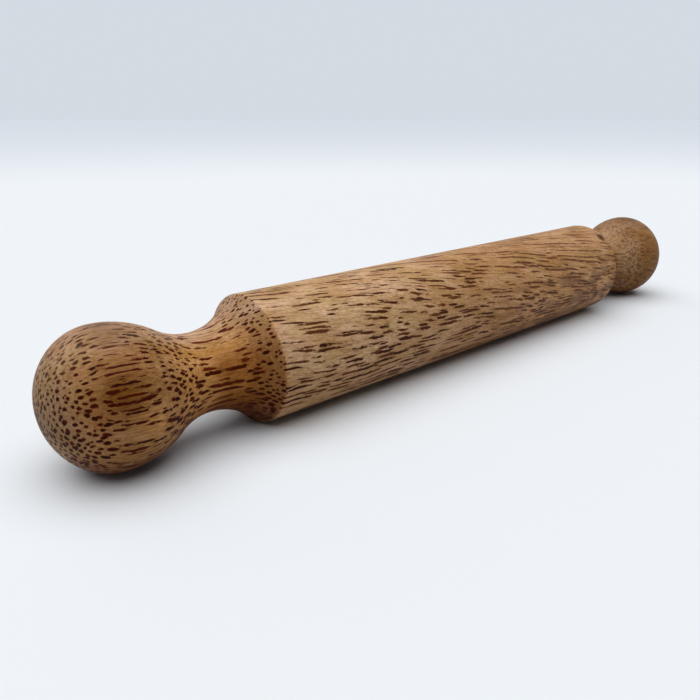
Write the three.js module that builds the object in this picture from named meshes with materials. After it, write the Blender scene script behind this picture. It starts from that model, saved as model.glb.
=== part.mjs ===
// A one-piece rolling pin, turned from a single billet of palm wood.
// A straight barrel runs through a coved shoulder and a waisted neck to a ball knob at each end.
// Millimetres. The pin lies along X on the plane z = 0, with the origin under the middle of its axis.

import * as THREE from 'three';

// Driving dimensions
const BARREL_DIAMETER = 44;
const BARREL_LENGTH = 211; // from arris to arris
const ARRIS_RADIUS = 0.7; // the sharp edge at each end of the barrel, eased by sanding
const NECK_DIAMETER = 26;
const NECK_FROM_ARRIS = 18.7; // along the axis, to the thinnest point
const BALL_FROM_NECK = 28.8; // along the axis, from the thinnest point to the ball's widest
const BALL_COVE_RUN = 12.1; // how much of that stretch is hollow, before it swells into the ball
const BALL_DIAMETER = 43.5;
const BALL_NOSE = 18.7; // along the axis, from the ball's widest to its tip

// Fineness of the turned surface: an even count puts a flat straight below the axis
const FACETS_ROUND = 48;
const RING_SPACING = 3; // along the profile, on its curves

const barrelRadius = BARREL_DIAMETER / 2;
const neckRadius = NECK_DIAMETER / 2;
const ballRadius = BALL_DIAMETER / 2;

// Places along the axis, on the end that points to -X
const arrisAt = -BARREL_LENGTH / 2;
const neckAt = arrisAt - NECK_FROM_ARRIS;
const ballAt = neckAt - BALL_FROM_NECK;

function circleArc(radius, centreRadial, centreAxial, from, to, clockwise) {
  return new THREE.EllipseCurve(centreRadial, centreAxial, radius, radius, from, to, clockwise);
}

// The profile of one end, from the tip of the ball to the barrel, in (radial, axial) coordinates
function endProfile() {
  const nose = new THREE.EllipseCurve(0, ballAt, ballRadius, BALL_NOSE, -Math.PI / 2, 0, false);

  // The ball's back and the cove beside it are two arcs that meet smoothly, level at both ends
  const swell = ballRadius - neckRadius;
  const bothRadii = (BALL_FROM_NECK ** 2 + swell ** 2) / (2 * swell);
  const coveRadius = (bothRadii * BALL_COVE_RUN) / BALL_FROM_NECK;
  const backRadius = bothRadii - coveRadius;
  const lean = Math.asin(BALL_FROM_NECK / bothRadii);
  const back = circleArc(backRadius, ballRadius - backRadius, ballAt, 0, lean, false);
  const cove = circleArc(coveRadius, neckRadius + coveRadius, neckAt, Math.PI + lean, Math.PI, true);

  // The shoulder is one hollow arc, level at the neck, that would reach the barrel at a sharp arris
  const rise = barrelRadius - neckRadius;
  const shoulderRadius = (NECK_FROM_ARRIS ** 2 + rise ** 2) / (2 * rise);
  const shoulderCentre = neckRadius + shoulderRadius;

  // The eased arris touches the barrel's side and the shoulder's arc
  const easedCentre = barrelRadius - ARRIS_RADIUS;
  const inward = easedCentre - shoulderCentre;
  const along = Math.sqrt((shoulderRadius + ARRIS_RADIUS) ** 2 - inward ** 2);
  const touch = Math.atan2(along, inward);
  const shoulder = circleArc(shoulderRadius, shoulderCentre, neckAt, Math.PI, touch, true);
  const arris = circleArc(ARRIS_RADIUS, easedCentre, neckAt + along, touch - Math.PI, 0, false);

  const points = [nose, back, cove, shoulder, arris].flatMap((curve, index) => {
    const rings = Math.max(2, Math.round(curve.getLength() / RING_SPACING));
    return curve.getPoints(rings).slice(index === 0 ? 0 : 1);
  });
  points[0].setX(0);
  return points;
}

function turnedPin() {
  const left = endProfile();
  const right = left.map((point) => new THREE.Vector2(point.x, -point.y)).reverse();

  // Each flat touches the turned circle, so the corners between the flats stand just outside it
  const halfFlat = Math.PI / FACETS_ROUND;
  const corner = 1 / Math.cos(halfFlat);
  const profile = [...left, ...right].map((point) => new THREE.Vector2(point.x * corner, point.y));
  return new THREE.LatheGeometry(profile, FACETS_ROUND, halfFlat);
}

const palmWood = new THREE.MeshStandardMaterial({ color: 0x9c7650, roughness: 0.45, metalness: 0 });

const pin = new THREE.Mesh(turnedPin(), palmWood);
pin.name = 'turned_pin';
pin.rotation.z = -Math.PI / 2; // the lathe's axis lies down along X
pin.position.z = barrelRadius;

const rollingPin = new THREE.Group();
rollingPin.add(pin);

export default rollingPin;
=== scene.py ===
import math

import bmesh
import bpy
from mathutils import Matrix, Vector


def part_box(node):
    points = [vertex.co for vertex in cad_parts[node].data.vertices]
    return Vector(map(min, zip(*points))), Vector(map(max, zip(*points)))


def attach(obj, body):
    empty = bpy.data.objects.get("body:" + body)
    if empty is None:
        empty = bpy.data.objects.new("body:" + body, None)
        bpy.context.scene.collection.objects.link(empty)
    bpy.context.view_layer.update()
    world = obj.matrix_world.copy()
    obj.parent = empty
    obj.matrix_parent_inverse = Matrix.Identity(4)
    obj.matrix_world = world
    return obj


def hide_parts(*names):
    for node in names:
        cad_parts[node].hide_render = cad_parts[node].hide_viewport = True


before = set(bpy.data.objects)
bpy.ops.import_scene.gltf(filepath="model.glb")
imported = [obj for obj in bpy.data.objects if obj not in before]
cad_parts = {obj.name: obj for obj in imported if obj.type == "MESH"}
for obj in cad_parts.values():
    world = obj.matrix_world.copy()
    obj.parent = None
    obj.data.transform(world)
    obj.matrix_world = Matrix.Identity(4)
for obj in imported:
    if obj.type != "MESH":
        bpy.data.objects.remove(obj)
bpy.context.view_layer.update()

# Sizes in metres. The length and the barrel's diameter come from the pin's part in model.glb.
PIN_LOW, PIN_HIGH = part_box("turned_pin")
BARREL_RADIUS = (PIN_HIGH.z - PIN_LOW.z) / 2
PIN_HALF_LENGTH = (PIN_HIGH.x - PIN_LOW.x) / 2
NECK_RADIUS = 0.013
BALL_RADIUS = 0.02175
BALL_NOSE = 0.0187
BALL_FROM_NECK = 0.0288
BALL_COVE_RUN = 0.0121
NECK_FROM_ARRIS = 0.0187
ARRIS_EASE = 0.0007

# Fineness of the turned surface
STEPS_ROUND = 192
RING_SPACING = 0.0009
FEWEST_ARC_STEPS = 3

# The wood's pattern is measured in millimetres
MM_PER_METRE = 1000

# The photograph's camera
PHOTO_SIDE_PX = 700
CAMERA_PLACE = Vector((-0.2236, -0.1848, 0.0981))
CAMERA_HEADING = math.radians(45.2)
CAMERA_DIP = math.radians(18.8)
CAMERA_NEAR_LIMIT = 0.01
FOCAL_LENGTH_PX = 682.5
OPTICAL_AXIS_RIGHT_PX = 36.4
SENSOR_MM = 36

# Two soft lights, each a disc of sky: a wide one overhead and a faint one behind the pin
OVERHEAD_FROM = (-0.10, -0.05, 1)
OVERHEAD_SPREAD = math.radians(84)
OVERHEAD_STRENGTH = 0.88 * math.pi
BEHIND_FROM = (0, 0.87, 0.5)
BEHIND_SPREAD = math.radians(50)
BEHIND_STRENGTH = 0.12 * math.pi

# The room: its faint light from all round, and the plain grey-blue that shows behind the floor
ROOM_LIGHT = 0.06
ROOM_COLOUR = (0.96, 0.98, 1.0, 1)
BACKDROP_COLOUR = (0.655, 0.705, 0.765, 1)

# The floor: a matt disc, in metres, whose paint goes by one over the distance from the middle
FLOOR_RADIUS = 40
FLOOR_SIDES = 96
FLOOR_FAR = (0.654, 0.706, 0.768, 1)
FLOOR_NEAR = (0.87, 0.905, 0.945, 1)
FLOOR_NEARNESS = (-0.08, 1.15)
FLOOR_ROUGHNESS = 0.9
FLOOR_GLOSS = 0.1

# The light that the floor throws back up at the pin
FLOOR_BOUNCE = (0.56, 0.56, 0.56, 1)

# Finish of the wood: a thin oil with little gloss, over a relief with a depth in metres
WOOD_ROUGHNESS = 0.45
WOOD_GLOSS = 0.045
RELIEF_STRENGTH = 0.25
RELIEF_DEPTH = 0.00006
RELIEF_OF_FIGURE = 0.4

# The grain: how far it moves sideways for each step along the pin,
# and how fast it winds round the axis, in radians per millimetre
GRAIN_SLOPE = (0, -0.115, 0)
GRAIN_TWIST = 0.0055

# Bends, waves and frays of the grain: the size along and across it, and the reach, in millimetres
BEND_SIZE = (38, 18)
BEND_REACH = 5
WAVE_SIZE = (12, 3.5)
WAVE_REACH = 1.0
FRAY_SIZE = (2.5, 0.9)
FRAY_REACH = 0.27
BALL_FRAY_REACH = 0.5

# The middle of the noise that moves the grain, where it isn't moved
NOISE_MIDDLE = (0.5, 0.5, 0.5)

# The strands in the grain, in millimetres
STRAND_SPACING = 1.58
STRAND_RADIUS_SIDES = 0.54
STRAND_RADIUS_ABOVE = 0.42
STRAND_RADIUS_SPREAD = 0.18
STRAND_EDGE = 0.11
STRAND_SCATTER = 0.75

# What is added to a strand's radius in places, in millimetres
BELOW_BARREL = -0.07
BELOW_HANDLE = 0.05
BALL_STREAKS = -0.07
BALL_DOTS = 0.06
NOSE_DOTS = -0.07
SHOULDER_DOTS = -0.05
STREAK_GAP = -0.22
STREAK_SWELL = 0.03
MOTTLE_SWELL = 0.06
PORE_SWELL = 0.11

# How much more the streaks break up on the balls
BALL_BREAKING = 1.7

# How strongly the strands show at the far end of the barrel and on the far handle,
# and how much they fade on top of the balls under a painted sheen
FAR_STRENGTH = 0.82
FAR_HANDLE_STRENGTH = 0.6
BALL_TOP_PAINTED_SHEEN = 0.12

# Patterns in the grain: the size along and across it, in millimetres, and the range of the noise that shows
SMOKE_SIZE = (17, 4)
SMOKE_RANGE = (0.44, 0.58)
MOTTLE_SIZE = (20, 7)
MOTTLE_RANGE = (0.35, 0.65)
FIGURE_SIZE = (9, 0.6)
FIGURE_RANGE = (0.38, 0.68)
PORE_SIZE = (1.5, 0.42)
PORE_RANGE = (0.34, 0.60)
CAST_SIZE = (14, 8)
CAST_RANGE = (0.35, 0.65)
BREAK_SIZE = (4, 0.9)
BREAK_RANGE = (0.36, 0.54)
SWELL_RANGE = (0.3, 0.7)

# Stretches over which zones start or end, in millimetres from the middle, alike at both ends
HANDLE_STARTS = (104, 106.5)
RIM_ENDS = (107, 112)
SHADE_STARTS = (106, 113)
SHADE_ENDS = (120, 128)
SHOULDER_DOTS_END = (113, 121)
SHOULDER_ENDS = (116, 124)
NECK_STARTS = (108, 116)
NECK_ENDS = (128, 138)
BALL_STARTS = (124, 134)
COVE_ENDS = (135, 144)
NOSE_STARTS = (152, 166)
TIP_STARTS = (163, 171)

# The same, from the near end at minus to the far end at plus
GOLD_STARTS = (-60, 10)
STRANDS_FADE = (-40, 105)
SMOKE_STARTS = (-20, 40)
NEAR_HALF_ENDS = (-10, 10)
FAR_HANDLE_STARTS = (106, 118)

# The same, by height in millimetres from the axis
BELOW_ENDS = (-16, -4)
TIP_BELOW_ENDS = (-13, -3)
ABOVE_STARTS = (-2, 14)

# The same, round the pin, from minus one underneath to one on top
UNDERSIDE_ENDS = (-0.85, -0.45)
NECK_UNDERSIDE_ENDS = (-0.6, -0.1)
SMOKE_ENDS = (0.1, 0.7)
SHADE_TOP = (0.35, 0.85)
RIM_TOP_STARTS = (0.5, 0.8)
PAINTED_SHEEN_TOP_STARTS = (0.72, 0.97)

# The same, from nought on face grain to one on end grain
FACE_GRAIN_ENDS = (0.1, 0.35)
BALL_DOTS_START = (0.2, 0.5)
SHOULDER_END_GRAIN_STARTS = (0.25, 0.7)
STREAKS_END = (0.3, 0.6)

# Colours of the wood between the strands. Those for the tops carry a painted sheen, the tip's colour is
# greyed by a painted reflection, and the colour under the tip is lightened by painted bounce light.
PALE_BARREL = (0.785, 0.525, 0.322, 1)
GOLDEN_BARREL = (0.640, 0.380, 0.196, 1)
NECK_WITH_PAINTED_SHEEN = (0.720, 0.460, 0.295, 1)
NECK_SIDE = (0.800, 0.440, 0.180, 1)
END_WITH_PAINTED_SHEEN = (0.570, 0.360, 0.218, 1)
END_SIDE = (0.515, 0.280, 0.122, 1)
TIP = (0.435, 0.282, 0.163, 1)
TIP_WITH_PAINTED_SHEEN = (0.550, 0.370, 0.220, 1)
TIP_PAINTED_BOUNCE_LIGHT = (0.740, 0.540, 0.370, 1)

# Tints where that wood is darker. On the shoulders' sides, the near handle's underside and under the necks
# they are painted shade, and on top of the balls one dims the painted sheen.
SHOULDER_PAINTED_SHADE = (0.59, 0.46, 0.28, 1)
FAR_END_TINT = (0.76, 0.74, 0.68, 1)
NEAR_UNDERSIDE_PAINTED_SHADE = (0.62, 0.52, 0.56, 1)
NECK_UNDERSIDE_PAINTED_SHADE = (0.76, 0.68, 0.58, 1)
BALL_TOP_SHEEN_DIMMING = (0.80, 0.78, 0.83, 1)
MOTTLE_TINT = (0.82, 0.75, 0.61, 1)
FIGURE_TINT = (0.70, 0.62, 0.52, 1)
PORE_TINT = (0.76, 0.70, 0.62, 1)
SMOKE_TINT = (0.68, 0.66, 0.73, 1)
FLECK_TINT = (0.22, 0.16, 0.16, 1)

# Tints where it is paler. The one on top of the shoulders' rims is a painted highlight.
CLEAR_TINT = (1.18, 1.17, 1.16, 1)
RIM_PAINTED_HIGHLIGHT = (1.18, 1.28, 1.45, 1)

# How much of the painted shade the shoulders' sides have at the rim
SHADE_AT_RIM = 0.6

# Casts that drift along the grain
OLIVE_CAST = (0.985, 1.005, 0.94, 1)
ROSY_CAST = (1.015, 0.99, 1.03, 1)

# Colours of the strands, and the tints that redden them on the handles
STRAND_DARK = (0.046, 0.010, 0.004, 1)
STRAND_LIGHT = (0.140, 0.042, 0.015, 1)
HANDLE_STRAND_TINT = (0.55, 0.15, 0.06, 1)
NECK_STRAND_TINT = (0.95, 0.42, 0.10, 1)

# Patches on the balls: the place from the middle of the axis and the reach, in millimetres, and the tint
PATCHES = (
    ((-156.5, -19.8, 8), 13, (0.52, 0.40, 0.18, 1)),
    ((-148, -21.3, -1.9), 9.5, (1.55, 1.62, 1.60, 1)),
    ((156, 6, 20), 19.5, (0.70, 0.54, 0.34, 1)),
)

# A dark fleck on the barrel's far edge, in millimetres from the middle of the axis
FLECK_PLACE = (102.8, -13.0, 17.7)
FLECK_CORE = 1.08
FLECK_REACH = 3.6


# Shape of the pin

def arc(centre, radius, start, end):
    """Points along an arc in (along, out) coordinates. Angles are measured from the outward direction."""
    count = max(FEWEST_ARC_STEPS, round(abs(end - start) * radius / RING_SPACING))
    points = []
    for step in range(count + 1):
        angle = start + (end - start) * step / count
        points.append((centre[0] + radius * math.sin(angle), centre[1] + radius * math.cos(angle)))
    return points


def end_profile():
    """The profile of the end that points to -X, from the tip of the ball to the barrel."""
    ball_at = BALL_NOSE - PIN_HALF_LENGTH
    neck_at = ball_at + BALL_FROM_NECK

    nose_steps = round(math.pi / 2 * BALL_RADIUS / RING_SPACING)
    nose = []
    for step in range(nose_steps + 1):
        angle = math.pi / 2 * step / nose_steps
        nose.append((ball_at - BALL_NOSE * math.cos(angle), BALL_RADIUS * math.sin(angle)))

    swell = BALL_RADIUS - NECK_RADIUS
    both_radii = (BALL_FROM_NECK ** 2 + swell ** 2) / (2 * swell)
    cove_radius = both_radii * BALL_COVE_RUN / BALL_FROM_NECK
    back_radius = both_radii - cove_radius
    lean = math.asin(BALL_FROM_NECK / both_radii)
    back = arc((ball_at, BALL_RADIUS - back_radius), back_radius, 0, lean)
    cove = arc((neck_at, NECK_RADIUS + cove_radius), cove_radius, math.pi + lean, math.pi)

    rise = BARREL_RADIUS - NECK_RADIUS
    shoulder_radius = (NECK_FROM_ARRIS ** 2 + rise ** 2) / (2 * rise)
    shoulder_centre = NECK_RADIUS + shoulder_radius
    inward = shoulder_centre - (BARREL_RADIUS - ARRIS_EASE)
    along = math.sqrt((shoulder_radius + ARRIS_EASE) ** 2 - inward ** 2)
    touch = math.atan2(along, inward)
    shoulder = arc((neck_at, shoulder_centre), shoulder_radius, math.pi, math.pi - touch)
    arris = arc((neck_at + along, BARREL_RADIUS - ARRIS_EASE), ARRIS_EASE, -touch, 0)
    return nose + back[1:] + cove[1:] + shoulder[1:] + arris[1:]


def pin_profile():
    """The whole profile, tip to tip, with even rings along the barrel."""
    left = end_profile()
    right = [(-along, out) for along, out in reversed(left)]
    barrel_start = left[-1][0]
    barrel_run = right[0][0] - barrel_start
    rings = round(barrel_run / RING_SPACING)
    barrel = [(barrel_start + barrel_run * step / rings, BARREL_RADIUS) for step in range(1, rings)]
    return left + barrel + right


def add_object(name, data):
    """A new object in the scene, made of the data."""
    added = bpy.data.objects.new(name, data)
    bpy.context.collection.objects.link(added)
    return added


def turned_pin():
    """The turned surface as one closed mesh, lying along X on the floor."""
    mesh = bpy.data.meshes.new("palm_wood_pin")
    surface = bmesh.new()
    profile = pin_profile()
    tips = [surface.verts.new((along, 0, BARREL_RADIUS)) for along, _ in (profile[0], profile[-1])]
    rings = []
    for along, out in profile[1:-1]:
        ring = []
        for step in range(STEPS_ROUND):
            angle = 2 * math.pi * step / STEPS_ROUND
            place = (along, out * math.sin(angle), BARREL_RADIUS + out * math.cos(angle))
            ring.append(surface.verts.new(place))
        rings.append(ring)
    for step in range(STEPS_ROUND):
        after = (step + 1) % STEPS_ROUND
        surface.faces.new((tips[0], rings[0][step], rings[0][after]))
        surface.faces.new((tips[1], rings[-1][after], rings[-1][step]))
        for here, there in zip(rings, rings[1:]):
            surface.faces.new((here[step], there[step], there[after], here[after]))
    bmesh.ops.recalc_face_normals(surface, faces=surface.faces)
    for face in surface.faces:
        face.smooth = True
    surface.to_mesh(mesh)
    surface.free()
    return add_object("palm_wood_pin", mesh)


# Materials

class Graph:
    """Short ways to add and wire shader nodes."""

    def __init__(self, tree):
        self.tree = tree
        tree.nodes.clear()

    def add(self, kind, inputs=None, **settings):
        node = self.tree.nodes.new("ShaderNode" + kind)
        for name, value in settings.items():
            setattr(node, name, value)
        for key, value in (inputs or {}).items():
            self.feed(node.inputs[key], value)
        return node

    def feed(self, socket, value):
        if isinstance(value, bpy.types.NodeSocket):
            self.tree.links.new(value, socket)
        else:
            socket.default_value = value

    def math(self, operation, *values):
        return self.add("Math", dict(enumerate(values)), operation=operation).outputs[0]

    def chain(self, operation, values):
        """The values taken together by one operation, from the first to the last."""
        result = values[0]
        for value in values[1:]:
            result = self.math(operation, result, value)
        return result

    def product(self, *values):
        return self.chain("MULTIPLY", values)

    def total(self, *values):
        return self.chain("ADD", values)

    def vector(self, operation, *values):
        return self.add("VectorMath", dict(enumerate(values)), operation=operation).outputs[0]

    def measure(self, operation, *values):
        """The number that a vector operation such as LENGTH gives."""
        return self.add("VectorMath", dict(enumerate(values)), operation=operation).outputs["Value"]

    def ramp(self, value, low, high, to_low=0.0, to_high=1.0):
        """A smooth step from to_low to to_high as value goes from low to high."""
        inputs = {"Value": value, "From Min": low, "From Max": high, "To Min": to_low, "To Max": to_high}
        return self.add("MapRange", inputs, interpolation_type="SMOOTHSTEP").outputs[0]

    def fall(self, value, low, high):
        """A smooth step from one to nought as value goes from low to high."""
        return self.ramp(value, low, high, 1.0, 0.0)

    def mix(self, factor, first, second, blend="MIX"):
        node = self.add("Mix", data_type="RGBA", blend_type=blend)
        for index, value in ((0, factor), (6, first), (7, second)):
            self.feed(node.inputs[index], value)
        return node.outputs[2]

    def tint(self, factor, colour, tint):
        return self.mix(factor, colour, tint, "MULTIPLY")

    def noise(self, place, size, detail=2.0, roughness=0.5):
        """Noise whose patches have a size along X and another across it, in the place's own units."""
        along, across = size
        patches = self.vector("MULTIPLY", place, (1 / along, 1 / across, 1 / across))
        inputs = {"Vector": patches, "Scale": 1.0, "Detail": detail, "Roughness": roughness}
        return self.add("TexNoise", inputs).outputs


class Site:
    """Where a point of the surface lies on the pin, as shader values. Lengths are in millimetres."""

    def __init__(self, graph):
        coordinates = graph.add("TexCoord").outputs["Object"]
        from_axis = graph.vector("SUBTRACT", coordinates, (0, 0, BARREL_RADIUS))
        self.place = graph.vector("MULTIPLY", from_axis, (MM_PER_METRE, MM_PER_METRE, MM_PER_METRE))
        self.axial, _, self.height = graph.add("SeparateXYZ", {0: self.place}).outputs
        self.from_middle = graph.math("ABSOLUTE", self.axial)

        # How much of the end grain shows, and how near the top the point is
        normal = graph.add("SeparateXYZ", {0: graph.add("NewGeometry").outputs["Normal"]})
        self.end_grain = graph.math("ABSOLUTE", normal.outputs[0])
        outward = graph.measure("LENGTH", graph.vector("MULTIPLY", self.place, (0, 1, 1)))
        self.upward = graph.math("DIVIDE", self.height, outward)

        # Zones that both the wood and its strands go by
        # The top of the pin, where the wood is painted paler and greyer as a sheen from the light above
        self.painted_sheen_top = graph.ramp(self.upward, *PAINTED_SHEEN_TOP_STARTS)
        self.on_handle = graph.ramp(self.from_middle, *HANDLE_STARTS)
        past_rim = graph.ramp(self.from_middle, *NECK_STARTS)
        self.on_neck = graph.product(past_rim, graph.fall(self.from_middle, *NECK_ENDS))
        self.on_ball = graph.ramp(self.from_middle, *BALL_STARTS)
        self.on_far_handle = graph.ramp(self.axial, *FAR_HANDLE_STARTS)


def new_material(name):
    """A material and the graph of its shader nodes."""
    material = bpy.data.materials.new(name)
    material.use_nodes = True
    return material, Graph(material.node_tree)


def wandered(graph, place, size, reach):
    """The place moved sideways by a slow noise, so that straight grain bends."""
    drift = graph.noise(place, size, detail=1.0)["Color"]
    offset = graph.vector("SUBTRACT", drift, NOISE_MIDDLE)
    sideways = graph.add("CombineXYZ", {0: 0, 1: reach, 2: reach}).outputs[0]
    return graph.vector("ADD", place, graph.vector("MULTIPLY", offset, sideways))


def bent_grain(graph, site):
    """The place in the grain, which winds slowly round the pin's axis and runs at a slight slope to it."""
    turn = graph.math("MULTIPLY", site.axial, -GRAIN_TWIST)
    winding = {"Vector": site.place, "Angle": turn}
    wound = graph.add("VectorRotate", winding, rotation_type="X_AXIS").outputs[0]
    slope = graph.add("VectorMath", {0: GRAIN_SLOPE, "Scale": site.axial}, operation="SCALE").outputs[0]
    straight = graph.vector("SUBTRACT", wound, slope)
    bent = wandered(graph, straight, BEND_SIZE, BEND_REACH)
    return wandered(graph, bent, WAVE_SIZE, WAVE_REACH)


def barrel_wood(graph, site, grain):
    """Pale tan on the near half and golden on the far half, which has smoky patches low down."""
    wood = graph.mix(graph.ramp(site.axial, *GOLD_STARTS), PALE_BARREL, GOLDEN_BARREL)
    smoke = graph.ramp(graph.noise(grain, SMOKE_SIZE)[0], *SMOKE_RANGE)
    low_side = graph.fall(site.upward, *SMOKE_ENDS)
    low_far_side = graph.product(low_side, graph.ramp(site.axial, *SMOKE_STARTS))
    return graph.tint(low_far_side, wood, graph.mix(smoke, CLEAR_TINT, SMOKE_TINT))


def handle_wood(graph, site):
    """Darker and redder than the barrel, most of all on the balls and on the shoulders' end grain, with
    painted light: a sheen on top, shade on the shoulders' sides and the undersides, a highlight on the rims
    and bounce light under the tips.
    """
    # On top, the necks and the ends take colours with a painted sheen
    neck = graph.mix(graph.math("MAXIMUM", site.painted_sheen_top, site.on_far_handle), NECK_SIDE, NECK_WITH_PAINTED_SHEEN)
    end = graph.mix(site.painted_sheen_top, END_SIDE, END_WITH_PAINTED_SHEEN)
    end_grain = graph.ramp(site.end_grain, *SHOULDER_END_GRAIN_STARTS)
    shoulder_end_grain = graph.product(end_grain, graph.fall(site.from_middle, *SHOULDER_ENDS))
    past_cove = graph.ramp(site.from_middle, *COVE_ENDS)
    wood = graph.mix(graph.math("MAXIMUM", past_cove, shoulder_end_grain), neck, end)

    # Painted shade on the shoulders' sides, less of it at the rim
    painted_shade_on_shoulders = graph.product(
        graph.fall(site.from_middle, *SHADE_ENDS),
        graph.fall(site.upward, *SHADE_TOP),
        graph.ramp(site.from_middle, *SHADE_STARTS, SHADE_AT_RIM, 1),
    )
    # Painted shade on the underside of the near handle, where it meets the floor
    near_half = graph.fall(site.axial, *NEAR_HALF_ENDS)
    painted_shade_near_underside = graph.product(graph.fall(site.upward, *UNDERSIDE_ENDS), near_half)
    # Painted shade under the necks
    painted_shade_under_necks = graph.product(site.on_neck, graph.fall(site.upward, *NECK_UNDERSIDE_ENDS))
    # A painted highlight, paler and bluer, on top of the shoulders' rims
    on_rim = graph.fall(site.from_middle, *RIM_ENDS)
    painted_highlight_on_rims = graph.product(on_rim, graph.ramp(site.upward, *RIM_TOP_STARTS))
    # On top of the balls, where face grain shows, the painted sheen is dimmed: darker and bluer
    dimmed_sheen_on_ball_tops = graph.product(site.on_ball, graph.fall(site.end_grain, *FACE_GRAIN_ENDS), site.painted_sheen_top)
    tinted_zones = (
        (painted_shade_on_shoulders, SHOULDER_PAINTED_SHADE),
        (site.on_far_handle, FAR_END_TINT),
        (painted_shade_near_underside, NEAR_UNDERSIDE_PAINTED_SHADE),
        (painted_shade_under_necks, NECK_UNDERSIDE_PAINTED_SHADE),
        (painted_highlight_on_rims, RIM_PAINTED_HIGHLIGHT),
        (dimmed_sheen_on_ball_tops, BALL_TOP_SHEEN_DIMMING),
    )
    for zone, tint in tinted_zones:
        wood = graph.tint(zone, wood, tint)

    # The tip: its colour greyed by a painted reflection, with a painted sheen on top and painted bounce
    # light from the floor underneath
    tip_with_painted_top = graph.mix(site.painted_sheen_top, TIP, TIP_WITH_PAINTED_SHEEN)
    tip = graph.mix(graph.ramp(site.height, *TIP_BELOW_ENDS), TIP_PAINTED_BOUNCE_LIGHT, tip_with_painted_top)
    wood = graph.mix(graph.ramp(site.from_middle, *TIP_STARTS), wood, tip)
    for spot, reach, tint in PATCHES:
        away = graph.measure("DISTANCE", site.place, spot)
        wood = graph.tint(graph.fall(away, 0, reach), wood, tint)
    return wood


def strand_radius(graph, site, grain, mottle, pores):
    """How thick the strands are: thickest along the pin's sides and on the balls' end grain."""
    # Thinner strands on top than along the sides leave the top paler, as part of the painted sheen
    by_height = graph.ramp(site.height, *ABOVE_STARTS, STRAND_RADIUS_SIDES, STRAND_RADIUS_ABOVE)
    lowest = graph.ramp(site.from_middle, *HANDLE_STARTS, BELOW_BARREL, BELOW_HANDLE)
    below = graph.ramp(site.height, *BELOW_ENDS, lowest, 0)
    ball_grain = graph.ramp(site.end_grain, *BALL_DOTS_START, BALL_STREAKS, BALL_DOTS)
    on_ball = graph.product(site.on_ball, ball_grain)
    on_nose = graph.ramp(site.from_middle, *NOSE_STARTS, 0, NOSE_DOTS)
    by_shoulder = graph.ramp(site.from_middle, *SHOULDER_DOTS_END, SHOULDER_DOTS, 0)
    on_shoulder = graph.product(site.on_handle, by_shoulder)
    breaks = graph.noise(grain, BREAK_SIZE, detail=1.0)[0]
    broken = graph.product(
        graph.ramp(breaks, *BREAK_RANGE, STREAK_GAP, STREAK_SWELL),
        graph.fall(site.end_grain, *STREAKS_END),
        graph.ramp(site.from_middle, *BALL_STARTS, 1, BALL_BREAKING),
    )
    mottled = graph.ramp(mottle, *SWELL_RANGE, MOTTLE_SWELL, -MOTTLE_SWELL)
    porous = graph.ramp(pores, *SWELL_RANGE, -PORE_SWELL, PORE_SWELL)
    return graph.total(by_height, below, on_ball, on_nose, on_shoulder, broken, mottled, porous)


def strands(graph, place, radius):
    """Dark strands along the grain. Gives their mask and a random number per strand."""
    across = graph.add("SeparateXYZ", {0: place})
    flat = graph.add("CombineXYZ", {0: across.outputs[1], 1: across.outputs[2]})
    inputs = {"Vector": flat.outputs[0], "Scale": 1 / STRAND_SPACING, "Randomness": STRAND_SCATTER}
    cells = graph.add("TexVoronoi", inputs, voronoi_dimensions="2D")
    distance = graph.math("MULTIPLY", cells.outputs["Distance"], STRAND_SPACING)
    tint = graph.add("SeparateColor", {0: cells.outputs["Color"]})
    spread = graph.math("MULTIPLY_ADD", tint.outputs[1], 2 * STRAND_RADIUS_SPREAD, -STRAND_RADIUS_SPREAD)
    beyond = graph.math("SUBTRACT", distance, graph.total(radius, spread))
    return graph.fall(beyond, -STRAND_EDGE, STRAND_EDGE), tint.outputs[0]


def strand_strength(graph, site):
    """How strongly the strands show: less towards the far end, and less on top of the balls under a painted
    sheen.
    """
    along_barrel = graph.ramp(site.axial, *STRANDS_FADE, 1, FAR_STRENGTH)
    on_far_handle = graph.ramp(site.axial, *FAR_HANDLE_STARTS, 1, FAR_HANDLE_STRENGTH)
    # Painted sheen: the strands fade on top of the balls
    faint = graph.product(site.painted_sheen_top, site.on_ball, -BALL_TOP_PAINTED_SHEEN)
    return graph.product(along_barrel, on_far_handle, graph.total(faint, 1))


def strand_colour(graph, site, shade):
    """Dark brown on the barrel and redder on the handles."""
    dark = graph.mix(shade, STRAND_DARK, STRAND_LIGHT)
    redness = graph.mix(site.on_neck, HANDLE_STRAND_TINT, NECK_STRAND_TINT)
    return graph.tint(site.on_handle, dark, redness)


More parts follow.
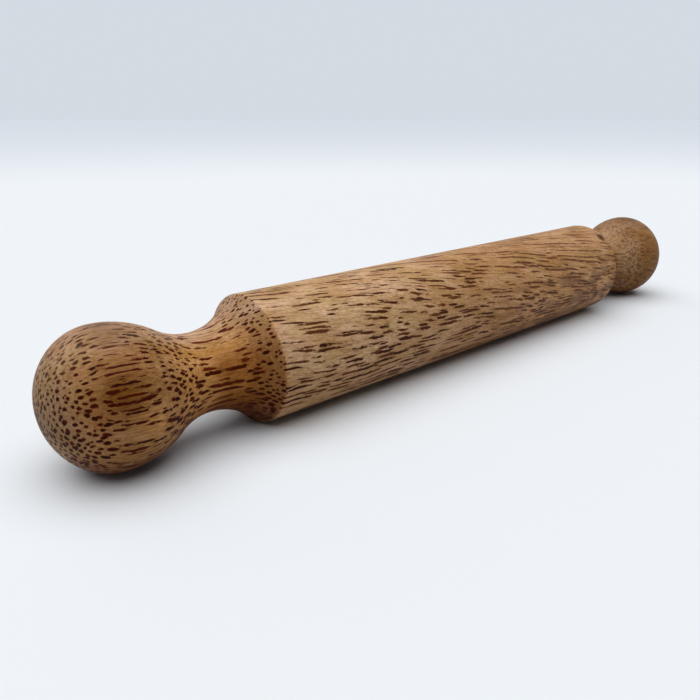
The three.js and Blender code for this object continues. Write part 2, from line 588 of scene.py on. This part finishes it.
def palm_wood():
    """Oiled palm wood: dark strands along the grain, as streaks on its sides and dots on its end grain."""
    material, graph = new_material("palm_wood")
    site = Site(graph)
    grain = bent_grain(graph, site)
    mottle = graph.noise(grain, MOTTLE_SIZE, detail=3.0)[0]
    figure = graph.noise(grain, FIGURE_SIZE, detail=3.0, roughness=0.6)[0]
    pores = graph.noise(grain, PORE_SIZE, roughness=0.6)[0]

    # The ground, with drifting casts, mottling, fine figure along the grain, and pores
    ground = graph.mix(site.on_handle, barrel_wood(graph, site, grain), handle_wood(graph, site))
    cast = graph.ramp(graph.noise(grain, CAST_SIZE)[0], *CAST_RANGE)
    ground = graph.tint(1.0, ground, graph.mix(cast, OLIVE_CAST, ROSY_CAST))
    ground = graph.tint(graph.fall(mottle, *MOTTLE_RANGE), ground, MOTTLE_TINT)
    ground = graph.tint(graph.ramp(figure, *FIGURE_RANGE), ground, FIGURE_TINT)
    ground = graph.tint(graph.fall(pores, *PORE_RANGE), ground, PORE_TINT)

    # The strands, with frayed edges
    fray_reach = graph.ramp(site.from_middle, *BALL_STARTS, FRAY_REACH, BALL_FRAY_REACH)
    frayed = wandered(graph, grain, FRAY_SIZE, fray_reach)
    mask, shade = strands(graph, frayed, strand_radius(graph, site, grain, mottle, pores))
    cover = graph.product(mask, strand_strength(graph, site))
    colour = graph.mix(cover, ground, strand_colour(graph, site, shade))
    from_fleck = graph.measure("DISTANCE", site.place, FLECK_PLACE)
    colour = graph.tint(graph.fall(from_fleck, FLECK_CORE, FLECK_REACH), colour, FLECK_TINT)

    # The strands lie a little below the wood between them
    relief = graph.math("SUBTRACT", graph.product(figure, RELIEF_OF_FIGURE), mask)
    bump = graph.add("Bump", {"Strength": RELIEF_STRENGTH, "Distance": RELIEF_DEPTH, "Height": relief})
    finish = {"Roughness": WOOD_ROUGHNESS, "Specular IOR Level": WOOD_GLOSS}
    shader = graph.add("BsdfPrincipled", {"Base Color": colour, "Normal": bump.outputs[0], **finish})
    graph.add("OutputMaterial", {"Surface": shader.outputs[0]})
    return material


def seen_directly(graph):
    """One where the camera sees a surface, straight on or by mirror or glass, and nought for soft light."""
    path = graph.add("LightPath").outputs
    seen = graph.math("MAXIMUM", path["Is Camera Ray"], path["Is Transmission Ray"])
    return graph.math("MAXIMUM", seen, path["Is Glossy Ray"])


def floor_paint():
    """Pale matt floor that turns greyer with distance."""
    material, graph = new_material("pale_floor")
    coordinates = graph.add("TexCoord").outputs["Object"]
    nearness = graph.math("DIVIDE", 1, graph.measure("LENGTH", coordinates))
    paint = graph.mix(graph.ramp(nearness, *FLOOR_NEARNESS), FLOOR_FAR, FLOOR_NEAR)
    colour = graph.mix(seen_directly(graph), FLOOR_BOUNCE, paint)
    finish = {"Roughness": FLOOR_ROUGHNESS, "Specular IOR Level": FLOOR_GLOSS}
    shader = graph.add("BsdfPrincipled", {"Base Color": colour, **finish})
    graph.add("OutputMaterial", {"Surface": shader.outputs[0]})
    return material


# Stage

def make_floor():
    mesh = bpy.data.meshes.new("floor")
    sheet = bmesh.new()
    bmesh.ops.create_circle(sheet, cap_ends=True, segments=FLOOR_SIDES, radius=FLOOR_RADIUS)
    sheet.to_mesh(mesh)
    sheet.free()
    floor = add_object("floor", mesh)
    mesh.materials.append(floor_paint())


def make_sky():
    """A pale room: soft light from all round, and a plain grey-blue behind the floor's far edge."""
    world = bpy.data.worlds.new("pale_room")
    bpy.context.scene.world = world
    world.use_nodes = True
    graph = Graph(world.node_tree)
    seen = seen_directly(graph)
    light = graph.add("Background", {"Color": ROOM_COLOUR, "Strength": ROOM_LIGHT})
    backdrop = graph.add("Background", {"Color": BACKDROP_COLOUR, "Strength": 1.0})
    both = graph.add("MixShader", {0: seen, 1: light.outputs[0], 2: backdrop.outputs[0]})
    graph.add("OutputWorld", {"Surface": both.outputs[0]})


def make_lamp(name, towards, spread, strength):
    """A soft light so far away that it falls evenly on the whole floor."""
    lamp = bpy.data.lights.new(name, "SUN")
    lamp.angle = spread
    lamp.energy = strength
    holder = add_object(name, lamp)
    holder.rotation_mode = "QUATERNION"
    holder.rotation_quaternion = Vector(towards).to_track_quat("Z", "Y")


def make_camera():
    camera = bpy.data.cameras.new("camera")
    camera.sensor_width = SENSOR_MM
    camera.lens = FOCAL_LENGTH_PX / PHOTO_SIDE_PX * SENSOR_MM
    camera.shift_x = -OPTICAL_AXIS_RIGHT_PX / PHOTO_SIDE_PX
    camera.clip_start = CAMERA_NEAR_LIMIT
    holder = add_object("camera", camera)
    ahead = Vector((
        math.cos(CAMERA_HEADING) * math.cos(CAMERA_DIP),
        math.sin(CAMERA_HEADING) * math.cos(CAMERA_DIP),
        -math.sin(CAMERA_DIP),
    ))
    holder.location = CAMERA_PLACE
    holder.rotation_mode = "QUATERNION"
    holder.rotation_quaternion = ahead.to_track_quat("-Z", "Y")
    bpy.context.scene.camera = holder


make_camera()
pin = turned_pin()
pin.data.materials.append(palm_wood())
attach(pin, "root")
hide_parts("turned_pin")

make_floor()
make_sky()
make_lamp("overhead_light", OVERHEAD_FROM, OVERHEAD_SPREAD, OVERHEAD_STRENGTH)
make_lamp("light_from_behind", BEHIND_FROM, BEHIND_SPREAD, BEHIND_STRENGTH)

bpy.context.scene.view_settings.view_transform = "Standard"
